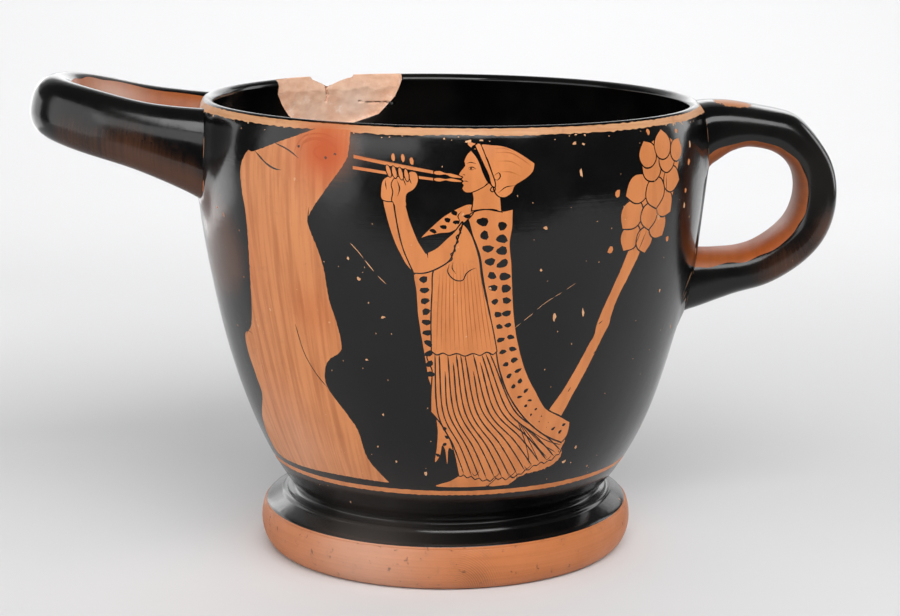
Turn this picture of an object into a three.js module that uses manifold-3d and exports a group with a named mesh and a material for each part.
// A red-figure skyphos: a deep clay drinking cup on a ring foot, with one level loop handle and one
// upright strap handle. Millimetres, +Z up. The origin is on the table, under the middle of the cup's
// overall box; +X runs through both handles, towards the upright one.
import * as THREE from 'three';
import { mergeVertices } from 'three/addons/utils/BufferGeometryUtils.js';
import Module from 'manifold-3d';

// ---- Driving dimensions ----
const WALL_RADIUS = 91.4;     // outside of the wall at its widest, under the lip
const LIP_HEIGHT = 163.1;     // lip crest above the table, on the cup's axis
const LIP_ROUND = 21;         // height over which the wall draws in to the lip
const LIP_CREST_RADIUS = 87.2;
const LIP_INNER_RADIUS = 84.6;
const WALL_THICKNESS = 4.4;
const FOOT_RADIUS = 67.9;     // widest part of the ring foot
const FOOT_BULGE_HEIGHT = 9.5;  // where it is widest
const FOOT_HEIGHT = 16;       // outer edge of the foot's upper face
const FOOT_GROOVE = 0.8;      // fine groove under that edge
const RIDGE_RADIUS = 59.2;    // small ridge inside the foot's upper face
const RIDGE_HEIGHT = 20.2;
const NECK_RADIUS = 57;       // tight ring between foot and bowl
const NECK_HEIGHT = 21;
const CONTACT_OUTER = 62;     // ring that touches the table
const CONTACT_INNER = 54;
const RECESS_RADIUS = 46;     // hollow under the foot
const RECESS_HEIGHT = 9.5;
const RING_SHOULDER_RADIUS = 51.5;  // where the hollow turns down to the ring that touches
const RING_SHOULDER_HEIGHT = 6;
const FLOOR_RADIUS = 42;      // inside bottom of the bowl
const FLOOR_HEIGHT = 17.5;
const CORNER_RADIUS = 50.5;   // rounded corner between floor and wall
const CORNER_HEIGHT = 22;
const INNER_WALL_FOOT = 29;   // height where the inside wall runs into that corner
const RIM_TILT = 0.0119;      // radians: the rim drops towards the upright handle
const AXIS_LEAN = 0.005;      // radians: the bowl's axis leans the same way
const FOOT_OFFSET = 1.25;     // the foot was set this far off the bowl's axis
const BOX_CENTRE_X = -5.0;    // middle of the overall box, from the foot of the bowl's axis

const ROUND_STEPS = 72;       // facets round the cup
const HANDLE_SIDES = 16;
const HANDLE_STEPS = 28;

const wasm = await Module();
wasm.setup();

/** A closed three.js geometry as a solid that can be joined and cut. */
function toSolid(geometry) {
  const bare = geometry.clone();
  bare.deleteAttribute('normal');
  bare.deleteAttribute('uv');
  const merged = mergeVertices(bare, 1e-4);
  return new wasm.Manifold(new wasm.Mesh({
    numProp: 3,
    vertProperties: new Float32Array(merged.attributes.position.array),
    triVerts: new Uint32Array(merged.index.array),
  }));
}

/** A solid back to a three.js geometry. */
function toGeometry(solid) {
  const { vertProperties, triVerts } = solid.getMesh();
  const geometry = new THREE.BufferGeometry();
  geometry.setAttribute('position', new THREE.BufferAttribute(vertProperties, 3));
  geometry.setIndex(new THREE.BufferAttribute(triVerts, 1));
  geometry.computeVertexNormals();
  return geometry;
}

/** Moves every vertex of a geometry by a function of its place. */
function bend(geometry, place) {
  const at = geometry.attributes.position;
  const from = new THREE.Vector3();
  for (let i = 0; i < at.count; i += 1) {
    const to = place(from.fromBufferAttribute(at, i));
    at.setXYZ(i, to.x, to.y, to.z);
  }
  return geometry;
}

/** A profile of radius and height, turned about the Z axis. */
function turned(profile, steps = ROUND_STEPS) {
  return new THREE.LatheGeometry(profile, steps).rotateX(Math.PI / 2);
}

const point = (radius, height) => new THREE.Vector2(radius, height);
const smooth = (low, high, value) => THREE.MathUtils.smoothstep(value, low, high);

// ---- Bowl and foot ----
// Outside of the wall: widest at WALL_TOP, drawing in below it to the neck by one slow and one quick
// power, and above it to the lip by a quarter of an ellipse.
const SWELL = 28.3;
const SWELL_POWER = 1.66;
const TUCK = 7.8;
const TUCK_POWER = 7.9;
const WALL_TOP = LIP_HEIGHT - LIP_ROUND;

function wallRadius(height) {
  if (height > WALL_TOP) {
    const up = Math.min((height - WALL_TOP) / LIP_ROUND, 1);
    return LIP_CREST_RADIUS + (WALL_RADIUS - LIP_CREST_RADIUS) * Math.sqrt(1 - up ** 2);
  }
  const down = (WALL_TOP - height) / (WALL_TOP - NECK_HEIGHT);
  return WALL_RADIUS - SWELL * down ** SWELL_POWER - TUCK * down ** TUCK_POWER;
}

/** Inside of the bowl, a wall's thickness in from the outside, from the lip down to the corner. */
function innerWall() {
  const lipFall = 2.5;        // straight inner edge of the lip
  const top = LIP_HEIGHT - 6;
  const steps = 10;
  const closing = 1.4;        // steps lie closer together towards the corner
  const wall = [point(LIP_INNER_RADIUS, LIP_HEIGHT - lipFall)];
  for (let i = 0; i <= steps; i += 1) {
    const height = INNER_WALL_FOOT + (top - INNER_WALL_FOOT) * (1 - i / steps) ** closing;
    wall.push(point(wallRadius(height) - WALL_THICKNESS, height));
  }
  return wall;
}

/** Points on an ellipse about a centre, from one angle to another in degrees. */
function arc(centre, radii, from, to, steps) {
  return Array.from({ length: steps + 1 }, (_, i) => {
    const angle = THREE.MathUtils.degToRad(from + (to - from) * i / steps);
    return point(centre.x + radii.x * Math.cos(angle), centre.y + radii.y * Math.sin(angle));
  });
}

/** Half section of the cup: under the foot, up the outside, over the lip, down the inside to the floor. */
function cupProfile() {
  const profile = [];
  // Hollow under the foot, a touch deeper in the middle, then the flat ring that touches the table.
  profile.push(point(0, RECESS_HEIGHT));
  profile.push(point(RECESS_RADIUS, RECESS_HEIGHT - 1));
  profile.push(point(RING_SHOULDER_RADIUS, RING_SHOULDER_HEIGHT));
  profile.push(point(CONTACT_INNER, 0));
  // Rounded side of the foot, a fine groove, and the sloping upper face up to the neck.
  const footBulge = point(FOOT_RADIUS - CONTACT_OUTER, FOOT_BULGE_HEIGHT);
  profile.push(...arc(point(CONTACT_OUTER, FOOT_BULGE_HEIGHT), footBulge, -90, 0, 4));
  const grooveRadius = FOOT_RADIUS - 1.7;
  profile.push(point(grooveRadius + FOOT_GROOVE, FOOT_HEIGHT - 1));
  profile.push(point(grooveRadius, FOOT_HEIGHT - FOOT_GROOVE));
  profile.push(point(grooveRadius, FOOT_HEIGHT));
  profile.push(point(RIDGE_RADIUS, RIDGE_HEIGHT));
  profile.push(point(NECK_RADIUS + 0.5, RIDGE_HEIGHT + 0.5));
  // Outside of the bowl, its steps closer together near the neck, where it turns faster.
  const wallSteps = 13;
  const opening = 1.5;
  const wallFoot = NECK_HEIGHT + 0.8;
  for (let i = 0; i <= wallSteps; i += 1) {
    const height = wallFoot + (WALL_TOP - wallFoot) * (i / wallSteps) ** opening;
    profile.push(point(wallRadius(height), height));
  }
  // Lip: the quarter ellipse outside, then a small round over to the inner edge.
  const lipRadii = point(WALL_RADIUS - LIP_CREST_RADIUS, LIP_ROUND);
  profile.push(...arc(point(LIP_CREST_RADIUS, WALL_TOP), lipRadii, 22.5, 90, 4));
  profile.push(point(LIP_INNER_RADIUS + 0.5, LIP_HEIGHT - 0.6));
  // Inside of the bowl, then the rounded corner and the floor.
  profile.push(...innerWall());
  profile.push(point(CORNER_RADIUS, CORNER_HEIGHT));
  profile.push(point(FLOOR_RADIUS, FLOOR_HEIGHT + 1));
  profile.push(point(0, FLOOR_HEIGHT));
  return profile;
}

/** The bowl leans a little and the foot sits off its axis, as thrown and joined by hand. */
function settle(p) {
  const tiltRun = 40;         // height over which the rim's tilt comes in
  const joinRun = 8;          // height over which foot and bowl come together
  const risen = smooth(NECK_HEIGHT, NECK_HEIGHT + tiltRun, p.z);
  const above = Math.max(p.z - NECK_HEIGHT, 0);
  const shift = AXIS_LEAN * above - FOOT_OFFSET * (1 - smooth(FOOT_HEIGHT, NECK_HEIGHT + joinRun, p.z));
  return new THREE.Vector3(p.x + shift, p.y, p.z - RIM_TILT * p.x * risen);
}

// ---- Handles ----
/**
 * A handle: a unit cylinder bent along a plane curve. The section is a rounded oval, `wide` in the
 * curve's plane and `tall` across it, both given along the length from 0 to 1.
 */
function handle({ curve, across, wide, tall, squareness }) {
  const round = (value) => Math.sign(value) * Math.abs(value) ** (2 / squareness);
  return bend(new THREE.CylinderGeometry(1, 1, 1, HANDLE_SIDES, HANDLE_STEPS), (p) => {
    const along = p.y + 0.5;
    const centre = curve.getPoint(along);
    const forward = curve.getTangent(along);
    const outward = new THREE.Vector3().crossVectors(forward, across).normalize();
    return centre
      .addScaledVector(outward, round(p.x) * wide(along))
      .addScaledVector(across, round(p.z) * tall(along));
  });
}

// Level handle: a horseshoe in a plane that rises outwards.
const LEVEL_REACH = 140.5;    // its centre line's outermost point, from the bowl's axis
const LEVEL_ROOT = 82;        // where the centre line starts, inside the wall
const LEVEL_HALF_SPREAD = 27;
const LEVEL_ROOT_HEIGHT = 145.5;
const LEVEL_RISE = 0.26;      // height gained for each unit outwards
const LEVEL_CORNER = 2.6;     // 2 is an ellipse, more is squarer
const LEVEL_WIDE = 8.4;       // half width of the section in the horseshoe's plane, at its bend
const LEVEL_TALL = 10.9;      // half height of the section across that plane

class Horseshoe extends THREE.Curve {
  getPoint(along, target = new THREE.Vector3()) {
    const angle = Math.PI * (along - 0.5);
    const out = Math.cos(angle) ** (2 / LEVEL_CORNER) * (LEVEL_REACH - LEVEL_ROOT);
    const side = Math.sign(angle) * Math.abs(Math.sin(angle)) ** (2 / LEVEL_CORNER);
    return target.set(-LEVEL_ROOT - out, side * LEVEL_HALF_SPREAD, LEVEL_ROOT_HEIGHT + LEVEL_RISE * out);
  }
}

/** The arms thin a little towards the wall and grow taller, then both flare where they join it. */
function levelHandle() {
  const thinning = 1.2;
  const deepening = 2.6;
  const flareWide = 1.5;
  const flareTall = 4;
  const toRoot = (along) => Math.abs(2 * along - 1);
  return handle({
    curve: new Horseshoe(),
    across: new THREE.Vector3(LEVEL_RISE, 0, 1).normalize(),
    wide: (along) => LEVEL_WIDE - thinning * toRoot(along) ** 2 + flareWide * toRoot(along) ** 8,
    tall: (along) => LEVEL_TALL + deepening * toRoot(along) ** 2 + flareTall * toRoot(along) ** 10,
    squareness: 2.3,
  });
}

// Upright handle: a strap from the rim, out, round and back into the wall at half height. Its centre
// line, as distance from the bowl's axis and height:
const UPRIGHT_ROUTE = [[80, 148.5], [100, 152.8], [118, 150.3], [129, 140.7], [131.8, 128.2], [127.8, 115.4],
  [114, 104], [98, 99.6], [80, 96.5]];
const UPRIGHT_THICK = 6.8;    // half thickness of the strap
const UPRIGHT_BROAD = 13.5;   // half its breadth

/** The strap is thickest and broadest at the rim, a touch heavier round its bend, and thickens below. */
function uprightHandle() {
  const rimThickening = 6.6;
  const rimBroadening = 3;
  const bendThickening = 0.9;
  const footThickening = 3.6;
  const route = UPRIGHT_ROUTE.map(([x, z]) => new THREE.Vector3(x, 0, z));
  return handle({
    curve: new THREE.CatmullRomCurve3(route, false, 'centripetal'),
    across: new THREE.Vector3(0, -1, 0),
    wide: (along) => UPRIGHT_THICK + rimThickening * (1 - smooth(0.03, 0.18, along))
      + bendThickening * smooth(0.25, 0.6, along) + footThickening * smooth(0.8, 1, along),
    tall: (along) => UPRIGHT_BROAD + rimBroadening * (1 - smooth(0, 0.3, along)),
    squareness: 2.8,
  });
}

// ---- Damage inside the far rim ----
// Outlines are degrees round the rim from the damage's middle, and heights.
const DAMAGE_TURN = THREE.MathUtils.degToRad(122);   // where round the rim the damage lies
const PATCH_DEPTH = 1.4;
const PATCH = [[19, 170], [18, 161], [13.5, 148.5], [8, 145], [0, 143.5], [-5.6, 144.8], [-12.7, 147.6],
  [-17, 154.2], [-18.8, 161.3], [-19, 170]];
const NOTCH = [[7.5, 168], [6.3, 163.6], [1.6, 160.4], [-2, 162.2], [-6, 163.6], [-7, 168]];
const CRACK = [[2, 161.5], [1.75, 153.5], [1.45, 153.5], [1.1, 161.5]];
const CRACK_DEPTH = 3;

/** A prism over one of those outlines, cut straight outwards between two distances from the axis. */
function radialPrism(outline, nearRadius, farRadius) {
  const shape = new THREE.Shape(outline.map(([turn, height]) =>
    point(LIP_INNER_RADIUS * Math.sin(THREE.MathUtils.degToRad(turn)), height)));
  const prism = new THREE.ExtrudeGeometry(shape, { depth: farRadius - nearRadius, bevelEnabled: false });
  // The outline's plane stands upright, facing along the damage's own radius.
  return toSolid(prism.applyMatrix4(new THREE.Matrix4().set(
    0, 0, 1, nearRadius,
    1, 0, 0, 0,
    0, 1, 0, 0,
    0, 0, 0, 1,
  )).rotateZ(DAMAGE_TURN));
}

/** What is missing: a flake off the inner wall, a notch through the lip, and a crack down from it. */
function damage() {
  const wellInside = 60;
  const wellOutside = 100;
  const clearAbove = LIP_HEIGHT + 6;
  // The flake is a thin shell of the inner wall and the lip's inner edge, under the patch's outline.
  const shellInside = 70;
  const shellFoot = 138;
  const shellTurn = 153;
  const shell = [
    point(shellInside, shellFoot),
    point(wallRadius(shellFoot) - WALL_THICKNESS + PATCH_DEPTH, shellFoot),
    point(LIP_INNER_RADIUS + PATCH_DEPTH, shellTurn),
    point(LIP_INNER_RADIUS + PATCH_DEPTH, LIP_HEIGHT - 1.2),
    point(LIP_CREST_RADIUS + 0.8, LIP_HEIGHT - 0.4),
    point(LIP_CREST_RADIUS + 1, clearAbove),
    point(shellInside, clearAbove),
    point(shellInside, shellFoot),
  ];
  const flake = toSolid(bend(turned(shell), settle)).intersect(radialPrism(PATCH, wellInside, wellOutside));
  const notch = radialPrism(NOTCH, wellInside, wellOutside);
  const crack = radialPrism(CRACK, wellInside, LIP_INNER_RADIUS + CRACK_DEPTH);
  return flake.add(notch).add(crack);
}

// ---- Assembly ----
/** Cup and handles in one; the bowl's own space is cut clear of the handles' roots first. */
function skyphos() {
  const aboveLip = LIP_HEIGHT + 20;
  const cup = toSolid(bend(turned(cupProfile()), settle));
  const bowlSpace = toSolid(bend(turned([
    point(0, INNER_WALL_FOOT),
    ...innerWall().reverse(),
    point(LIP_INNER_RADIUS, aboveLip),
    point(0, aboveLip),
  ]), settle));
  const handles = toSolid(levelHandle()).add(toSolid(uprightHandle())).subtract(bowlSpace);
  return toGeometry(cup.add(handles).subtract(damage())).translate(-BOX_CENTRE_X, 0, 0);
}

const clay = new THREE.MeshStandardMaterial({ color: 0x17140f, roughness: 0.22, metalness: 0 });
const cup = new THREE.Mesh(skyphos(), clay);
cup.name = 'skyphos';

const model = new THREE.Group();
model.add(cup);

export default model;
